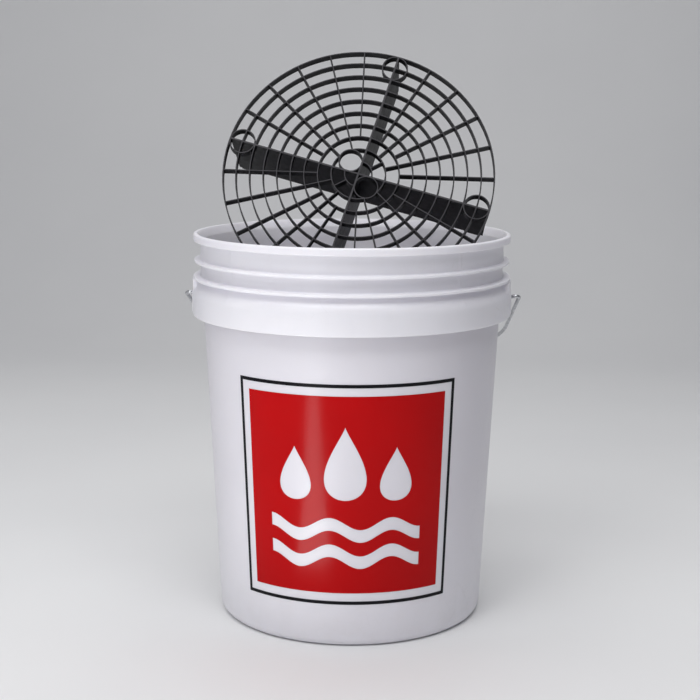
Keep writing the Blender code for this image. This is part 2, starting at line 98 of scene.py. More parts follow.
def rounded_path(corners):
    """A polyline of (x, z, fillet radius) corners with each corner rounded."""
    out = []
    n = len(corners)
    for i, (x, z, rad) in enumerate(corners):
        if rad <= 0 or i in (0, n - 1):
            out.append((x, z))
            continue
        p = Vector((x, z))
        a = Vector(corners[i - 1][:2]) - p
        b = Vector(corners[i + 1][:2]) - p
        la, lb = a.length, b.length
        a, b = a / la, b / lb
        half = math.acos(max(-1.0, min(1.0, a.dot(b)))) / 2
        if abs(half - math.pi / 2) < 1e-3:
            out.append((x, z))
            continue
        cut = min(rad / math.tan(half), la * 0.48, lb * 0.48)
        r = cut * math.tan(half)
        centre = p + (a + b).normalized() * (r / math.sin(half))
        s = (p + a * cut) - centre
        e = (p + b * cut) - centre
        turn = math.atan2(s.x * e.y - s.y * e.x, s.dot(e))
        steps = max(2, int(math.ceil(abs(turn) / math.radians(18))),
                    min(10, int(abs(turn) * r / 0.9)))
        for k in range(steps + 1):
            t = turn * k / steps
            c, sn = math.cos(t), math.sin(t)
            out.append((centre.x + c * s.x - sn * s.y,
                        centre.y + sn * s.x + c * s.y))
    return out


def split_long(path, longest):
    out = [path[0]]
    for (x0, z0), (x1, z1) in zip(path, path[1:]):
        n = max(1, int(math.ceil(math.hypot(x1 - x0, z1 - z0) / longest)))
        for k in range(1, n + 1):
            out.append((x0 + (x1 - x0) * k / n, z0 + (z1 - z0) * k / n))
    return out


def revolve(path, angles, shift=None, closed=False):
    """Turn a (r, z) path round Z at the given angles; shift(i, r, z, a)
    moves points. A radius of 0 becomes one pole vertex."""
    bm = bmesh.new()
    cols = []
    poles = {}
    for a in angles:
        col = []
        for i, (r, z) in enumerate(path):
            if r <= 1e-6:
                if i not in poles:
                    poles[i] = bm.verts.new((0, 0, z))
                col.append(poles[i])
                continue
            rr, zz = shift(i, r, z, a) if shift else (r, z)
            col.append(bm.verts.new((rr * math.cos(a), rr * math.sin(a), zz)))
        cols.append(col)
    n = len(path)
    for ca, cb in zip(cols, cols[1:] + cols[:1]):
        for i in range(n if closed else n - 1):
            j = (i + 1) % n
            quad = [ca[i], cb[i], cb[j], ca[j]]
            quad = [v for k, v in enumerate(quad) if v not in quad[:k]]
            if len(quad) >= 3:
                bm.faces.new(quad)
    return bm


def plate(points, edges, depth_at, levels, top_of=None):
    """Extrude a flat pattern to several depths as one closed body."""
    verts, _, faces, _, _, _ = delaunay_2d_cdt(points, edges, [], 0, 1e-4)
    depth = [depth_at(sum(verts[i][0] for i in f) / 3.0,
                      sum(verts[i][1] for i in f) / 3.0) for f in faces]
    bm = bmesh.new()
    made = {}

    def vert(i, level):
        if (i, level) not in made:
            z = levels[level]
            if level == 0 and top_of:
                z = top_of(verts[i][0], verts[i][1])
            made[i, level] = bm.verts.new((*verts[i], z))
        return made[i, level]

    beside = {}
    for f, d in zip(faces, depth):
        if d:
            bm.faces.new([vert(i, 0) for i in f])
            bm.faces.new([vert(i, d) for i in reversed(f)])
        for k in range(3):
            beside[f[k], f[(k + 1) % 3]] = d
    for (i, j), d in beside.items():
        for level in range(beside.get((j, i), 0), d):
            bm.faces.new((vert(i, level), vert(i, level + 1),
                          vert(j, level + 1), vert(j, level)))
    return bm


def add_loop(points, edges, loop):
    base = len(points)
    points += [Vector(p) for p in loop]
    edges += [(base + k, base + (k + 1) % len(loop)) for k in range(len(loop))]


def ngon(cx, cy, radius, count, turn):
    return [(cx + radius * math.cos(turn + 2 * math.pi * k / count),
             cy + radius * math.sin(turn + 2 * math.pi * k / count))
            for k in range(count)]


def in_ngon(x, y, cx, cy, radius, count, turn, eps=0.0):
    step = 2 * math.pi / count
    a = (math.atan2(y - cy, x - cx) - turn) % step - step / 2
    return (math.hypot(x - cx, y - cy) * math.cos(a)
            < radius * math.cos(step / 2) + eps)


def in_loop(x, y, loop):
    odd = False
    for (x0, y0), (x1, y1) in zip(loop, loop[1:] + loop[:1]):
        if (y0 > y) != (y1 > y) and x < x0 + (x1 - x0) * (y - y0) / (y1 - y0):
            odd = not odd
    return odd


def guard_matrix():
    normal = Vector((math.sin(GUARD_FACING) * math.cos(GUARD_LEAN),
                     -math.cos(GUARD_FACING) * math.cos(GUARD_LEAN),
                     math.sin(GUARD_LEAN)))
    chord = Vector((math.cos(GUARD_FACING), math.sin(GUARD_FACING), 0.0))
    up = normal.cross(chord)
    basis = Matrix((chord, up, normal)).transposed()
    basis = basis @ Matrix.Rotation(GUARD_SPIN, 3, "Z")
    return Matrix.Translation(GUARD_CENTRE) @ basis.to_4x4()


# ---------------------------------------------------------------------------
# procedural materials
# ---------------------------------------------------------------------------
class Nodes:
    """Small helper that writes one material's node tree."""

    def __init__(self, name):
        self.mat = bpy.data.materials.new(name)
        self.mat.use_nodes = True
        self.tree = self.mat.node_tree
        self.bsdf = self.tree.nodes["Principled BSDF"]
        self.coord = self.tree.nodes.new("ShaderNodeTexCoord").outputs["Object"]

    def link(self, a, b):
        self.tree.links.new(a, b)

    def mapped(self, scale, source=None):
        n = self.tree.nodes.new("ShaderNodeMapping")
        n.inputs["Scale"].default_value = scale
        self.link(source or self.coord, n.inputs["Vector"])
        return n.outputs["Vector"]

    def noise(self, scale, detail=3.0, rough=0.55, vector=None, distort=0.0):
        n = self.tree.nodes.new("ShaderNodeTexNoise")
        n.inputs["Scale"].default_value = scale
        n.inputs["Detail"].default_value = detail
        n.inputs["Roughness"].default_value = rough
        n.inputs["Distortion"].default_value = distort
        self.link(vector or self.coord, n.inputs["Vector"])
        return n.outputs["Fac"]

    def voronoi(self, scale, vector=None, feature="DISTANCE_TO_EDGE"):
        n = self.tree.nodes.new("ShaderNodeTexVoronoi")
        n.feature = feature
        n.inputs["Scale"].default_value = scale
        self.link(vector or self.coord, n.inputs["Vector"])
        return n.outputs["Distance"]

    def ramp(self, fac, stops):
        n = self.tree.nodes.new("ShaderNodeValToRGB")
        el = n.color_ramp.elements
        el[0].position, el[0].color = stops[0][0], stops[0][1]
        el[1].position, el[1].color = stops[-1][0], stops[-1][1]
        for pos, col in stops[1:-1]:
            e = el.new(pos)
            e.color = col
        self.link(fac, n.inputs["Fac"])
        return n.outputs["Color"]

    def grey(self, fac, lo, hi, a=0.0, b=1.0):
        n = self.tree.nodes.new("ShaderNodeMapRange")
        n.inputs["From Min"].default_value = lo
        n.inputs["From Max"].default_value = hi
        n.inputs["To Min"].default_value = a
        n.inputs["To Max"].default_value = b
        self.link(fac, n.inputs["Value"])
        return n.outputs["Result"]

    def math(self, op, a, b):
        n = self.tree.nodes.new("ShaderNodeMath")
        n.operation = op
        for k, v in enumerate((a, b)):
            if isinstance(v, (int, float)):
                n.inputs[k].default_value = v
            else:
                self.link(v, n.inputs[k])
        return n.outputs["Value"]

    def mix(self, fac, a, b, mode="MIX"):
        n = self.tree.nodes.new("ShaderNodeMix")
        n.data_type = "RGBA"
        n.blend_type = mode
        for sock, v in ((n.inputs[0], fac), (n.inputs[6], a), (n.inputs[7], b)):
            if isinstance(v, (int, float)):
                sock.default_value = v
            elif isinstance(v, tuple):
                sock.default_value = v
            else:
                self.link(v, sock)
        return n.outputs[2]

    def axis(self, name, source=None):
        n = self.tree.nodes.new("ShaderNodeSeparateXYZ")
        self.link(source or self.coord, n.inputs[0])
        return n.outputs[name]

    def bump(self, height, distance, strength=1.0, under=None):
        n = self.tree.nodes.new("ShaderNodeBump")
        n.inputs["Strength"].default_value = strength
        n.inputs["Distance"].default_value = distance
        self.link(height, n.inputs["Height"])
        if under:
            self.link(under, n.inputs["Normal"])
        return n.outputs["Normal"]

    def put(self, **sockets):
        for key, v in sockets.items():
            sock = self.bsdf.inputs[key.replace("_", " ")]
            if isinstance(v, (int, float, tuple)):
                sock.default_value = v
            else:
                self.link(v, sock)
        return self.mat


def wall_relief(m, peel=1.0):
    """Moulded-wall relief shared by the plastic and the ink printed on it:
    long slow waves, faint upright draw marks and a fine peel."""
    slow = m.bump(m.noise(9.0, 2.0, 0.45), 0.0009, 0.25)
    draw = m.bump(m.noise(60.0, 3.0, 0.6, m.mapped((1.0, 1.0, 0.06))),
                  0.00006, 0.35, slow)
    return m.bump(m.noise(900.0, 2.0, 0.5), 0.00003, 0.35 * peel, draw)


def scuffs(m, scale, stretch, width, cover):
    """Thin broken scratches: stretched cell edges, masked by patches."""
    lines = m.voronoi(scale, m.mapped(stretch))
    thin = m.grey(lines, 0.0, width, 1.0, 0.0)
    patch = m.grey(m.noise(14.0, 4.0, 0.6), cover, cover + 0.08)
    return m.math("MULTIPLY", thin, patch)


def make_white():
    m = Nodes("white_hdpe")
    cloud = m.noise(5.0, 3.0, 0.5)
    flow = m.noise(22.0, 4.0, 0.6, m.mapped((1.0, 1.0, 0.22)), 0.4)
    tone = m.mix(m.grey(cloud, 0.35, 0.65), (0.83, 0.818, 0.865, 1),
                 (0.79, 0.778, 0.83, 1))
    tone = m.mix(m.grey(flow, 0.45, 0.72, 0.0, 0.35), tone,
                 (0.76, 0.745, 0.79, 1))
    marks = scuffs(m, 30.0, (1.0, 1.0, 0.35), 0.012, 0.56)
    fine = scuffs(m, 85.0, (0.5, 0.5, 1.6), 0.02, 0.54)
    worn = m.math("MAXIMUM", marks, fine)
    # handling dust gathers low on the wall
    z = m.axis("Z")
    low = m.grey(z, 0.0, 0.05, 1.0, 0.0)
    dust = m.math("MULTIPLY", low, m.grey(m.noise(38.0, 5.0, 0.65), 0.42, 0.7))
    tone = m.mix(m.math("MULTIPLY", worn, 0.22), tone, (0.66, 0.655, 0.67, 1))
    tone = m.mix(m.math("MULTIPLY", dust, 0.16), tone, (0.55, 0.53, 0.50, 1))
    # painted shade: the wall below the collar is painted a little greyer than the
    # collar and neck, most from mid-wall up to the collar, less towards the bottom;
    # the amount is matched, not a known property of the plastic
    painted_wall_shade = m.math("MULTIPLY", m.grey(z, 0.2900, 0.2911, 1.0, 0.0),
                    m.grey(z, 0.03, 0.15, 0.15, 0.85))
    tone = m.mix(painted_wall_shade, tone, (0.70, 0.68, 0.73, 1))
    rough = m.grey(m.noise(70.0, 5.0, 0.6), 0.3, 0.7, 0.30, 0.42)
    rough = m.math("ADD", rough, m.math("MULTIPLY", worn, 0.16))
    rough = m.math("ADD", rough, m.math("MULTIPLY", dust, 0.18))
    m.bsdf.inputs["Subsurface Radius"].default_value = (1.0, 0.95, 0.9)
    return m.put(Base_Color=tone, Roughness=rough, Normal=wall_relief(m),
                 IOR=1.50, Subsurface_Weight=0.45, Subsurface_Scale=0.006,
                 Specular_IOR_Level=0.5)


def make_ink(name, colour, dark, rough_lo, rough_hi, level=0.3):
    m = Nodes(name)
    tone = m.mix(m.grey(m.noise(11.0, 4.0, 0.55), 0.35, 0.65), colour, dark)
    # the screen's fine weave, and a few rubbed hairlines
    weave = m.noise(900.0, 1.0, 0.4)
    tone = m.mix(m.grey(weave, 0.55, 0.8, 0.0, 0.08), tone, dark)
    rub = scuffs(m, 34.0, (0.8, 0.8, 0.4), 0.006, 0.60)
    rough = m.grey(m.noise(24.0, 4.0, 0.6), 0.3, 0.7, rough_lo, rough_hi)
    rough = m.math("ADD", rough, m.math("MULTIPLY", rub, 0.05))
    return m.put(Base_Color=tone, Roughness=rough, Normal=wall_relief(m, 0.7),
                 IOR=1.48, Specular_IOR_Level=level)


def make_black_pp():
    m = Nodes("black_polypropylene")
    tone = m.mix(m.grey(m.noise(30.0, 4.0, 0.6), 0.3, 0.7),
                 (0.005, 0.005, 0.006, 1), (0.011, 0.011, 0.012, 1))
    # painted sheen: the top faces of the ribs, facing out of the guard, are painted
    # a little paler than their sides, broken up by noise
    n = m.tree.nodes.new("ShaderNodeVectorMath")
    n.operation = "DOT_PRODUCT"
    n.inputs[1].default_value = guard_matrix().to_3x3().col[2]
    m.link(m.tree.nodes["Texture Coordinate"].outputs["Normal"], n.inputs[0])
    face = m.grey(n.outputs["Value"], 0.55, 0.95)
    painted_rib_sheen = m.math("MULTIPLY", face,
                    m.grey(m.noise(90.0, 5.0, 0.65), 0.25, 0.75, 0.45, 1.0))
    tone = m.mix(painted_rib_sheen, tone, (0.070, 0.067, 0.074, 1))
    rub = scuffs(m, 120.0, (1.0, 1.0, 1.0), 0.03, 0.52)
    tone = m.mix(m.math("MULTIPLY", rub, 0.3), tone, (0.07, 0.07, 0.075, 1))
    rough = m.grey(m.noise(160.0, 4.0, 0.6), 0.3, 0.7, 0.40, 0.54)
    rough = m.math("SUBTRACT", rough, m.math("MULTIPLY", face, 0.08))
    grain = m.bump(m.noise(1500.0, 2.0, 0.6), 0.00004, 0.5)
    grain = m.bump(m.noise(120.0, 3.0, 0.5), 0.00012, 0.3, grain)
    return m.put(Base_Color=tone, Roughness=rough, Normal=grain, IOR=1.49,
                 Specular_IOR_Level=0.11)


def make_zinc():
    m = Nodes("zinc_wire")
    spangle = m.voronoi(340.0, feature="F1")
    tone = m.mix(m.grey(spangle, 0.1, 0.8), (0.62, 0.63, 0.65, 1),
                 (0.46, 0.47, 0.49, 1))
    dull = m.grey(m.noise(45.0, 5.0, 0.65), 0.45, 0.7)
    tone = m.mix(m.math("MULTIPLY", dull, 0.5), tone, (0.30, 0.305, 0.31, 1))
    rough = m.grey(m.noise(240.0, 4.0, 0.6), 0.3, 0.7, 0.22, 0.42)
    pits = m.bump(m.noise(1400.0, 3.0, 0.6), 0.00005, 0.6)
    return m.put(Base_Color=tone, Roughness=rough, Metallic=1.0, Normal=pits)


def make_sleeve():
    m = Nodes("white_sleeve")
    tone = m.mix(m.grey(m.noise(40.0, 4.0, 0.6), 0.35, 0.65),
                 (0.78, 0.78, 0.80, 1), (0.72, 0.715, 0.73, 1))
    grime = m.grey(m.noise(75.0, 5.0, 0.65), 0.55, 0.75, 0.0, 0.3)
    tone = m.mix(grime, tone, (0.55, 0.54, 0.53, 1))
    rough = m.grey(m.noise(140.0, 4.0, 0.6), 0.3, 0.7, 0.36, 0.5)
    grain = m.bump(m.noise(1100.0, 2.0, 0.6), 0.00004, 0.5)
    return m.put(Base_Color=tone, Roughness=rough, Normal=grain,
                 Subsurface_Weight=0.08, Subsurface_Scale=0.002)


WHITE = make_white()
RED = make_ink("red_ink", (0.45, 0.0004, 0.0015, 1), (0.41, 0.0004, 0.0015, 1),
               0.14, 0.20, 0.13)
BLACK = make_ink("black_ink", (0.004, 0.004, 0.006, 1),
                 (0.008, 0.008, 0.010, 1), 0.28, 0.42, 0.12)
SCALE_INK = make_ink("scale_ink", (0.035, 0.035, 0.04, 1),
                     (0.07, 0.07, 0.075, 1), 0.3, 0.45)
BLACK_PP = make_black_pp()
ZINC = make_zinc()
SLEEVE = make_sleeve()


# ---------------------------------------------------------------------------
# pail shell
# ---------------------------------------------------------------------------
def pail_path():
    corners = [
        (0.0, 0.0, 0), (104.0, 0.0, 0.5), (105.4, 1.2, 0.5), (108.6, 1.2, 0.5),
        (110.0, 0.0, 0.5), (cone(0.0), 0.0, 8.0),
        (143.0, 315.8, 0.7), (144.6, 317.0, 0.7), (149.9, 310.2, 1.0),
        (149.9, BAND_BOTTOM, 0.6), (BAND_RADIUS, BAND_BOTTOM, 0.7),
        (BAND_RADIUS, 312.9, 19.1), (145.2, 322.8, 2.4), (144.1, 325.1, 0.35),
        (151.4, 325.1, 0.75), (151.4, 327.6, 0.75), (144.3, 328.0, 1.0),
        (143.8, 340.9, 0.6), (150.2, 340.9, 0.75), (150.2, 343.3, 0.75),
        (144.6, 343.7, 1.0), (144.3, 361.0, 0.7), (LIP_RADIUS, 361.0, 0.9),
        (LIP_RADIUS, PAIL_HEIGHT, 1.9), (147.4, PAIL_HEIGHT, 1.1),
        (143.0, 360.5, 3.0), (141.9, 350.0, 8.0), (cone(291.8) - WALL, 291.8, 12.0),
        (cone(2.6) - WALL, 2.6, 7.0), (0.0, 2.6, 0)]
    return split_long(rounded_path(corners), 14.0)


def column_angles():
    base = [2 * math.pi * k / 240 for k in range(240)]
    extra = []
    for ear in (0.0, 180.0):
        for d in (8.9, 9.3, 9.7, 10.1, 10.6, 11.1, 11.7, 12.3, 12.9):
            extra += [ear + d, ear - d]
    for seam in (45.0, 135.0, 225.0, 315.0):
        extra += [seam - 0.42, seam - 0.2, seam + 0.2, seam + 0.42]
    angles = base + [math.radians(d) % (2 * math.pi) for d in extra]
    angles.sort()
    kept = [angles[0]]
    for a in angles[1:]:
        if a - kept[-1] > math.radians(0.12):
            kept.append(a)
    return kept


def build_pail():
    path = []
    for p, q in zip(pail_path(), pail_path()[1:]):
        path.append(p)
        # rows on the band's face keep the ear pad's lower edge crisp
        if abs(p[0] - BAND_RADIUS) < 0.02 and abs(q[0] - BAND_RADIUS) < 0.02:
            path += [(BAND_RADIUS, z) for z in
                     (291.9, 292.4, 293.0, 293.6, 297.0, 301.0, 305.0)
                     if p[1] + 0.2 < z < q[1] - 0.2]
    path.append((0.0, 2.6))
    top = max(range(len(path)), key=lambda i: path[i][1])
    low = next(i for i, (r, z) in enumerate(path) if r > BAND_RADIUS - 0.01)
    ring = next(i for i, (r, z) in enumerate(path)
                if i > low and z > 325.0 and r > 145.5)

    def shift(i, r, z, a):
        deg = math.degrees(a)
        if low <= i < ring:
            ear = min(abs(((deg - e + 180) % 360) - 180) for e in (0.0, 180.0))
            if z > 306.0:
                fill = 1.0 - smooth01(10.8, 13.0, ear)
                r += (max(BAND_RADIUS - 0.02, r) - r) * fill
            pad = 1.0 - smooth01(9.0, 10.2, ear)
            edge = smooth01(291.9, 293.6, z) * (1 - smooth01(312.0, 313.4, z))
            r += EAR_PAD * pad * edge
        if i < top and 313.5 < z < 361.5:
            seam = min(abs(((deg - s + 180) % 360) - 180)
                       for s in (45.0, 135.0, 225.0, 315.0))
            r += 0.22 * (1.0 - smooth01(0.1, 0.42, seam))
        return r, z

    bm = revolve(path, column_angles(), shift)
    shell = finish_mesh("pail_shell", bm, WHITE, "pail",
                        ("pail_body",), angle=38.0)
    # bail holes through the collar band
    tool = bmesh.new()
    for side in (-1, 1):
        got = bmesh.ops.create_cone(tool, cap_ends=True, segments=40,
                                    radius1=2.5, radius2=2.5, depth=9.0)
        bmesh.ops.rotate(tool, verts=got["verts"], cent=(0, 0, 0),
                         matrix=Matrix.Rotation(math.radians(90), 3, "Y"))
        bmesh.ops.translate(tool, verts=got["verts"],
                            vec=(side * 151.6, 0, PIVOT_Z))
    mm_mesh = bpy.data.meshes.new("hole_tool")
    tool.to_mesh(mm_mesh)
    tool.free()
    cut = bpy.data.objects.new("hole_tool", mm_mesh)
    bpy.context.scene.collection.objects.link(cut)
    big = bpy.data.objects.new("shell_mm", shell.data.copy())
    big.data.transform(Matrix.Scale(1000.0, 4))
    bpy.context.scene.collection.objects.link(big)
    mod = big.modifiers.new("holes", "BOOLEAN")
    mod.operation, mod.solver, mod.object = "DIFFERENCE", "EXACT", cut
    bpy.context.view_layer.update()
    deps = bpy.context.evaluated_depsgraph_get()
    done = bpy.data.meshes.new_from_object(big.evaluated_get(deps))
    bpy.data.objects.remove(big)
    bpy.data.objects.remove(cut)
    done.transform(Matrix.Scale(0.001, 4))
    done.shade_smooth()
    done.set_sharp_from_angle(angle=math.radians(38))
    old = shell.data
    shell.data = done
    done.name = "pail_shell"
    if not done.materials:
        done.materials.append(WHITE)
    bpy.data.meshes.remove(old)

    # gussets inside the hollow collar, seen only from below
    bm = bmesh.new()
    for k in range(12):
        a = math.radians(30.0 * (k + 0.5))
        c, s = math.cos(a), math.sin(a)
        outline = [(cone(299.0) - 0.5, 297.0), (147.0, 294.6), (150.4, 294.2),
                   (150.4, 310.6), (145.0, 317.5), (142.2, 316.5)]
        outline = [(r, z) for r, z in outline]
        rings = []
        for t in (-0.8, 0.8):
            rings.append([bm.verts.new((r * c - t * s, r * s + t * c, z))
                          for r, z in outline])
        bm.faces.new(rings[0])
        bm.faces.new(rings[1][::-1])
        for i in range(len(outline)):
            j = (i + 1) % len(outline)
            bm.faces.new((rings[0][i], rings[1][i], rings[1][j], rings[0][j]))
    finish_mesh("collar_gussets", bm, WHITE, "pail")


# ---------------------------------------------------------------------------
# prints
# ---------------------------------------------------------------------------
PRINT_LOW, PRINT_THICK = 0.02, 0.07


def wall_print(name, mat, node, loops, inside, mean, centre_deg, step=3.0):
    points, edges = [], []
    for loop in loops:
        add_loop(points, edges, loop)
    lo, hi = min(p[0] for p in points), max(p[0] for p in points)
    z0, z1 = min(p[1] for p in points), max(p[1] for p in points)
    strips = int(math.ceil((hi - lo) / step))
    for k in range(1, strips):
        x = lo + (hi - lo) * k / strips
        base = len(points)
        points += [Vector((x, z0)), Vector((x, z1))]
        edges.append((base, base + 1))
    bm = plate(points, edges, lambda x, y: 1 if inside(x, y) else 0,
               (PRINT_THICK, 0.0))
    for v in bm.verts:
        a = v.co.x / mean + math.radians(centre_deg)
        r = cone(v.co.y) + PRINT_LOW + v.co.z
        v.co = Vector((r * math.sin(a), -r * math.cos(a), v.co.y))
    return finish_mesh(name, bm, mat, "pail", (node,), angle=50.0)


def rectangle(x0, y0, x1, y1):
    return [(x0, y0), (x1, y0), (x1, y1), (x0, y1)]


def drop_outline(cx, cy, width, height, steps=56):
    return [(cx + width / 2 * math.sin(t) * abs(math.sin(t / 2)) ** 1.5 * 1.18,
             cy + height / 2 * math.cos(t))
            for t in (2 * math.pi * i / steps for i in range(steps))]


def wave_outline(cx, cy, width, height, thick, waves=2.5, steps=72):
    upper, lower = [], []
    for i in range(steps + 1):
        u = i / steps
        x = cx - width / 2 + width * u
        y = cy + height / 2 * math.cos(2 * math.pi * waves * u)
        upper.append((x, y + thick / 2))
        lower.append((x, y - thick / 2))
    return upper + lower[::-1]


def build_prints():
    mean = cone((FRAME_Z[0] + FRAME_Z[1]) / 2)
    half = math.radians(FRAME_HALF) * mean
    outer = rectangle(-half, FRAME_Z[0], half, FRAME_Z[1])
    inner = rectangle(-half + KEYLINE, FRAME_Z[0] + KEYLINE,
                      half - KEYLINE, FRAME_Z[1] - KEYLINE)
    wall_print("front_keyline_ink", BLACK, "front_print_keyline",
               [outer, inner], lambda x, y: not in_loop(x, y, inner), mean,
               PRINT_CENTRE)
    half = math.radians(PANEL_HALF) * mean
    outer = rectangle(-half, PANEL_Z[0], half, PANEL_Z[1])
    mid = (PANEL_Z[0] + PANEL_Z[1]) / 2
    cuts = [drop_outline(x, mid + 26.0 + dy, w, h) for x, dy, w, h in
            ((-46.0, -6.0, 36.0, 50.0), (0.0, 4.0, 46.0, 68.0),
             (46.0, -6.0, 36.0, 50.0))]
    cuts += [wave_outline(0.0, mid - 32.0 - 25.0 * k, 142.0, 11.0, 12.0)
             for k in range(2)]
    wall_print("front_panel_ink", RED, "front_print_panel",
               [outer] + cuts,
               lambda x, y: not any(in_loop(x, y, c) for c in cuts), mean,
               PRINT_CENTRE)
    mean = cone((SCALE_Z[0] + SCALE_Z[1]) / 2)
    bars = [rectangle(-1.0, SCALE_Z[0], 1.0, SCALE_Z[1])]
    for k in range(15):
        y = SCALE_Z[0] + k * (SCALE_Z[1] - SCALE_Z[0] - 2.0) / 14
        bars.append(rectangle(-0.5, y, 26.0 if k % 2 == 0 else 15.0, y + 2.0))
    wall_print("fill_scale_ink", SCALE_INK,
               "side_print_fill_scale", bars,
               lambda x, y: any(in_loop(x, y, b) for b in bars), mean,
               SCALE_CENTRE)


# ---------------------------------------------------------------------------
# bail wire and grip
# ---------------------------------------------------------------------------
def bail_matrix():
    return (Matrix.Translation((0, 0, PIVOT_Z))
            @ Matrix.Rotation(-HANG, 4, "X"))


def build_bail():
    eye_x, bend, shoulder, straight = 152.6, 3.6, 103.5, 49.5
    tilt, slope = math.radians(35.0), math.radians(5.71)
    half = [(146.6, 0.0, 2.6), (146.8, 0.0, 3.1), (147.1, 0.0, 3.4),
            (147.9, 0.0, 3.4), (148.2, 0.0, 3.1), (148.3, 0.0, 2.0),
            (148.6, 0.0, 1.8)]
    for i in range(7):
        a = -tilt * i / 6
        half.append((eye_x - bend * math.sin(a),
                     bend * (math.cos(a) - 1.0), 1.8))
    cx = eye_x + 2 * bend * math.sin(tilt)
    cy = bend * (2 * math.cos(tilt) - 1.0)
    for i in range(1, 25):
        a = -tilt + (math.pi / 2 + slope + tilt) * i / 24
        half.append((cx + bend * math.sin(a), cy - bend * math.cos(a), 1.8))
    end = half[-1]
    arc = [(straight + shoulder * math.cos(a),
            REACH + shoulder * (math.sin(a) - 1.0), 1.8)
           for a in (slope + (math.pi / 2 - slope) * i / 48
                     for i in range(49))]
    half += [(end[0] + (arc[0][0] - end[0]) * k / 8,
              end[1] + (arc[0][1] - end[1]) * k / 8, 1.8)
             for k in range(1, 8)]
    half += arc
    half += [(straight * (1 - k / 5), REACH, 1.8) for k in range(1, 5)]
    path = half + [(-x, y, r) for x, y, r in reversed(half)]
    sides = 28
    bm = bmesh.new()
    rings = []
    up = Vector((0, 0, 1))
    for i, (x, y, r) in enumerate(path):
        here = Vector((x, y, 0))
        a = Vector((*path[max(i - 1, 0)][:2], 0))
        b = Vector((*path[min(i + 1, len(path) - 1)][:2], 0))
        t1 = (here - a).normalized() if i else (b - here).normalized()
        t2 = (b - here).normalized() if i < len(path) - 1 else t1
        side = up.cross((t1 + t2).normalized()).normalized()
        rings.append([bm.verts.new(here + r * (
            math.cos(2 * math.pi * k / sides) * side
            + math.sin(2 * math.pi * k / sides) * up)) for k in range(sides)])
    for a, b in zip(rings, rings[1:]):
        for k in range(sides):
            n = (k + 1) % sides
            bm.faces.new((a[k], a[n], b[n], b[k]))
    bm.faces.new(rings[0])
    bm.faces.new(rings[-1][::-1])
    bmesh.ops.transform(bm, matrix=bail_matrix(), verts=bm.verts)
    finish_mesh("bail_zinc_wire", bm, ZINC, "bail",
                ("bail_wire",), angle=50.0)

    # sleeve grip: five shallow finger grooves, two parting lines
    h, rad = 45.0, 12.4
    corners = [(2.5, -h, 0.4), (rad - 2.2, -h, 1.6), (rad, -h + 2.6, 1.6)]
    for k in range(-2, 3):
        mid = k * 16.0
        corners += [(rad, mid - 6.2, 1.6), (rad - 0.95, mid - 3.8, 2.4),
                    (rad - 0.95, mid + 3.8, 2.4), (rad, mid + 6.2, 1.6)]
    corners += [(rad, h - 2.6, 1.6), (rad - 2.2, h, 1.6), (2.5, h, 0.4)]
    path = rounded_path([(2.5, 0.0, 0)] + [(2.5, -h + 1.5, 0)] + corners
                        + [(2.5, h - 1.5, 0)])
    angles = sorted([2 * math.pi * k / 72 for k in range(72)]
                    + [math.radians(d) % (2 * math.pi) for s in (2.5, 182.5)
                       for d in (s - 1.2, s - 0.5, s + 0.5, s + 1.2)])

    def line(i, r, z, a):
        d = min(abs(((math.degrees(a) - s + 180) % 360) - 180)
                for s in (2.5, 182.5))
        if r > 6 and abs(z) < h - 0.5:
            r += 0.1 * (1 - smooth01(0.4, 1.2, d))
        return r, z

    bm = revolve(path, angles, line, closed=True)
    bmesh.ops.rotate(bm, verts=bm.verts, cent=(0, 0, 0),
                     matrix=Matrix.Rotation(math.radians(90), 3, "Y"))
    bmesh.ops.translate(bm, verts=bm.verts, vec=GRIP_POS)
    finish_mesh("grip_sleeve", bm, SLEEVE, "grip",
                ("bail_grip",), angle=40.0)


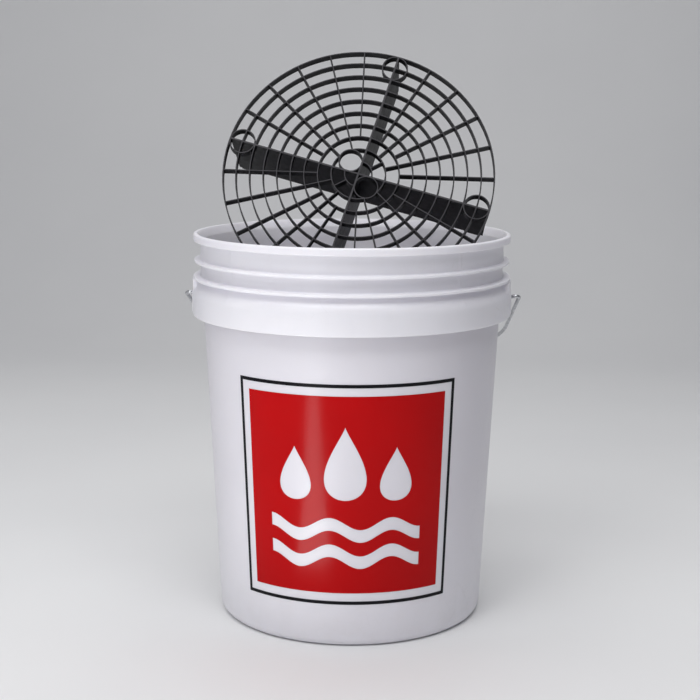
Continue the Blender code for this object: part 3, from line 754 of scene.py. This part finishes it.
# ---------------------------------------------------------------------------
# grit guard
# ---------------------------------------------------------------------------
def build_guard():
    chamfer = 0.22
    sides = 96
    points, edges = [], []
    rings, fingers, ends = [], [], []
    for k in range(1, RING_COUNT + 1):
        outer = GUARD_RADIUS if k == RING_COUNT else k * PITCH + RIB_HALF
        rings.append((0.0, 0.0, outer - 2 * RIB_HALF, outer,
                      sides if k > 3 else 48))
    for deg in (135.0, 315.0):
        a = math.radians(deg)
        fingers.append((FINGER_OFFSET * math.cos(a),
                        FINGER_OFFSET * math.sin(a),
                        FINGER_RADIUS - RIB_HALF, FINGER_RADIUS + RIB_HALF, 48))
    for k in range(4):
        a = math.radians(90.0 * k)
        ends.append((BOSS_RING * PITCH * math.cos(a),
                     BOSS_RING * PITCH * math.sin(a),
                     BOSS_RADIUS - 2 * RIB_HALF, BOSS_RADIUS, 48))
    for cx, cy, r0, r1, n in rings + fingers + ends:
        for r in (r0, r0 + chamfer, r1 - chamfer, r1):
            add_loop(points, edges, ngon(cx, cy, r, n, math.pi / n))
    spokes = []
    for i in range(24):
        step = i % 6
        start = 0.0 if step == 0 else PITCH * (2 if step in (2, 4) else 3)
        spokes.append((math.radians(15.0 * i), start, GUARD_RADIUS - 0.6,
                       MAIN_HALF if step == 0 else RIB_HALF))
    for i in (3, 15):
        spokes.append((math.radians(15.0 * i), PITCH, 2 * PITCH, RIB_HALF))
    foot = (VANE_OUT_LOW - 18.5, VANE_OUT_LOW - 2.5)
    for a, r0, r1, half in spokes:
        c, s = math.cos(a), math.sin(a)
        for w in (half, half - chamfer):
            add_loop(points, edges,
                     [(r * c - t * s, r * s + t * c) for r, t in
                      ((r0, -w), (r1, -w), (r1, w), (r0, w))])
    for k in range(4):
        c, s = round(math.cos(k * math.pi / 2)), round(math.sin(k * math.pi / 2))
        for r0, r1 in ((0.0, VANE_OUT_TOP), foot):
            add_loop(points, edges, [
                (r * c - t * s, r * s + t * c) for r, t in
                ((r0, -VANE_HALF), (r1, -VANE_HALF), (r1, VANE_HALF),
                 (r0, VANE_HALF))])

    def solid(x, y, pinch, eps):
        for n_, (cx, cy, r0, r1, n) in enumerate(fingers):
            if in_ngon(x, y, cx, cy, r1 - pinch, n, math.pi / n, eps):
                if in_ngon(x, y, cx, cy, r0 + pinch, n, math.pi / n, -eps):
                    # the finger holes are clear, apart from the main arms
                    along, across = max(abs(x), abs(y)), min(abs(x), abs(y))
                    return across < MAIN_HALF - pinch + eps
                return True
        for cx, cy, r0, r1, n in rings + ends:
            if in_ngon(x, y, cx, cy, r1 - pinch, n, math.pi / n, eps) and \
                    not in_ngon(x, y, cx, cy, r0 + pinch, n, math.pi / n, -eps):
                return True
        for a, r0, r1, half in spokes:
            u = x * math.cos(a) + y * math.sin(a)
            v = abs(-x * math.sin(a) + y * math.cos(a))
            if v < half - pinch + eps and r0 - eps < u < r1 + eps:
                return True
        return False

    def depth_at(x, y):
        along, across = max(abs(x), abs(y)), min(abs(x), abs(y))
        if across < VANE_HALF and along < VANE_OUT_TOP:
            return 3 if foot[0] < along < foot[1] else 2
        return 1 if solid(x, y, 0.0, 0.0) else 0

    def top_of(x, y):
        return 0.0 if solid(x, y, chamfer, 0.004) else -chamfer

    bm = plate(points, edges, depth_at,
               (0.0, -RIB_DEPTH, -VANE_DEPTH + 2.5, -VANE_DEPTH), top_of)
    for v in bm.verts:
        r = math.hypot(v.co.x, v.co.y)
        if v.co.z < -RIB_DEPTH - 1 and r > VANE_OUT_TOP - 1:
            v.co.x *= VANE_OUT_LOW / VANE_OUT_TOP
            v.co.y *= VANE_OUT_LOW / VANE_OUT_TOP
    bmesh.ops.transform(bm, matrix=guard_matrix(), verts=bm.verts)
    finish_mesh("grit_guard_moulding", bm, BLACK_PP, "guard",
                ("grit_guard",), angle=30.0)


build_pail()
build_prints()
build_bail()
build_guard()


# ---------------------------------------------------------------------------
# studio: a pale sweep, soft lights, the camera
# ---------------------------------------------------------------------------
def build_stage():
    m = Nodes("pale_sweep")
    tone = m.mix(m.grey(m.noise(1.6, 3.0, 0.5), 0.3, 0.7),
                 (0.84, 0.84, 0.84, 1), (0.80, 0.80, 0.805, 1))
    m.put(Base_Color=tone, Roughness=m.grey(m.noise(9.0, 4.0, 0.6), 0.3, 0.7,
                                            0.55, 0.7))
    path = [(-4.0, 0.0)]
    for k in range(17):
        a = math.radians(-90 + 90 * k / 16)
        path.append((1.3 + 0.9 * math.cos(a), 0.9 + 0.9 * math.sin(a)))
    path.append((2.2, 4.0))
    bm = bmesh.new()
    rows = [[bm.verts.new((x, y, z)) for x in (-5.0, 5.0)] for y, z in path]
    for a, b in zip(rows, rows[1:]):
        bm.faces.new((a[0], a[1], b[1], b[0]))
    mesh = bpy.data.meshes.new("floor_sweep")
    bm.to_mesh(mesh)
    bm.free()
    mesh.materials.append(m.mat)
    mesh.shade_smooth()
    floor = bpy.data.objects.new("floor_sweep", mesh)
    bpy.context.scene.collection.objects.link(floor)


def area(name, place, aim, size, power, turn=0.0):
    data = bpy.data.lights.new(name, "AREA")
    data.shape = "RECTANGLE"
    data.size, data.size_y = size
    data.energy = power
    obj = bpy.data.objects.new(name, data)
    look = (Vector(aim) - Vector(place)).to_track_quat("-Z", "Y").to_matrix()
    if turn:
        look = Matrix.Rotation(math.radians(turn), 3, "Z") @ look
    obj.matrix_world = Matrix.Translation(place) @ look.to_4x4()
    obj.visible_camera = False
    bpy.context.scene.collection.objects.link(obj)


build_stage()
world = bpy.data.worlds.new("studio_world")
world.use_nodes = True
world.node_tree.nodes["Background"].inputs["Color"].default_value = (
    0.90, 0.92, 1.0, 1)
world.node_tree.nodes["Background"].inputs["Strength"].default_value = 0.19
bpy.context.scene.world = world
area("key_left", (-0.66, -1.36, 0.90), (0, 0, 0.30), (0.45, 1.45), 4.3)
area("front_top", (-0.10, -0.98, 1.85), (0, 0, 0.30), (2.0, 0.7), 20.0)
area("side_left", (-1.9, -0.1, 0.9), (0, 0, 0.2), (0.8, 1.4), 2.7)
area("top_soft", (0.0, 0.3, 1.95), (0, 0, 0.2), (1.6, 1.2), 12.5)
area("floor_panel", (-0.262, -0.60, 0.004), (-0.262, -0.60, 1.0),
     (0.13, 0.72), 1.8, turn=-26.0)

YAW = math.radians(3.3)
PAN, PITCH_DOWN, ROLL = (math.radians(d) for d in (-0.058, 10.077, 0.298))
fwd = Vector((math.sin(PAN) * math.cos(PITCH_DOWN),
              math.cos(PAN) * math.cos(PITCH_DOWN), -math.sin(PITCH_DOWN)))
right = Vector((math.cos(PAN), -math.sin(PAN), 0.0))
upv = right.cross(fwd)
r2 = right * math.cos(ROLL) + upv * math.sin(ROLL)
u2 = -right * math.sin(ROLL) + upv * math.cos(ROLL)
turn = Matrix.Rotation(YAW, 3, "Z")
cam_data = bpy.data.cameras.new("photo_camera")
cam_data.sensor_width = 36.0
cam_data.lens = 1445.9 * 36.0 / 700.0
cam = bpy.data.objects.new("photo_camera", cam_data)
basis = Matrix((turn @ r2, turn @ u2, turn @ (-fwd))).transposed()
cam.matrix_world = (Matrix.Translation(turn @ Vector((0, -1.381, 0.4987)))
                    @ basis.to_4x4())
bpy.context.scene.collection.objects.link(cam)
bpy.context.scene.camera = cam
bpy.context.scene.view_settings.view_transform = "Standard"
bpy.context.scene.view_settings.look = "None"

bpy.context.view_layer.update()
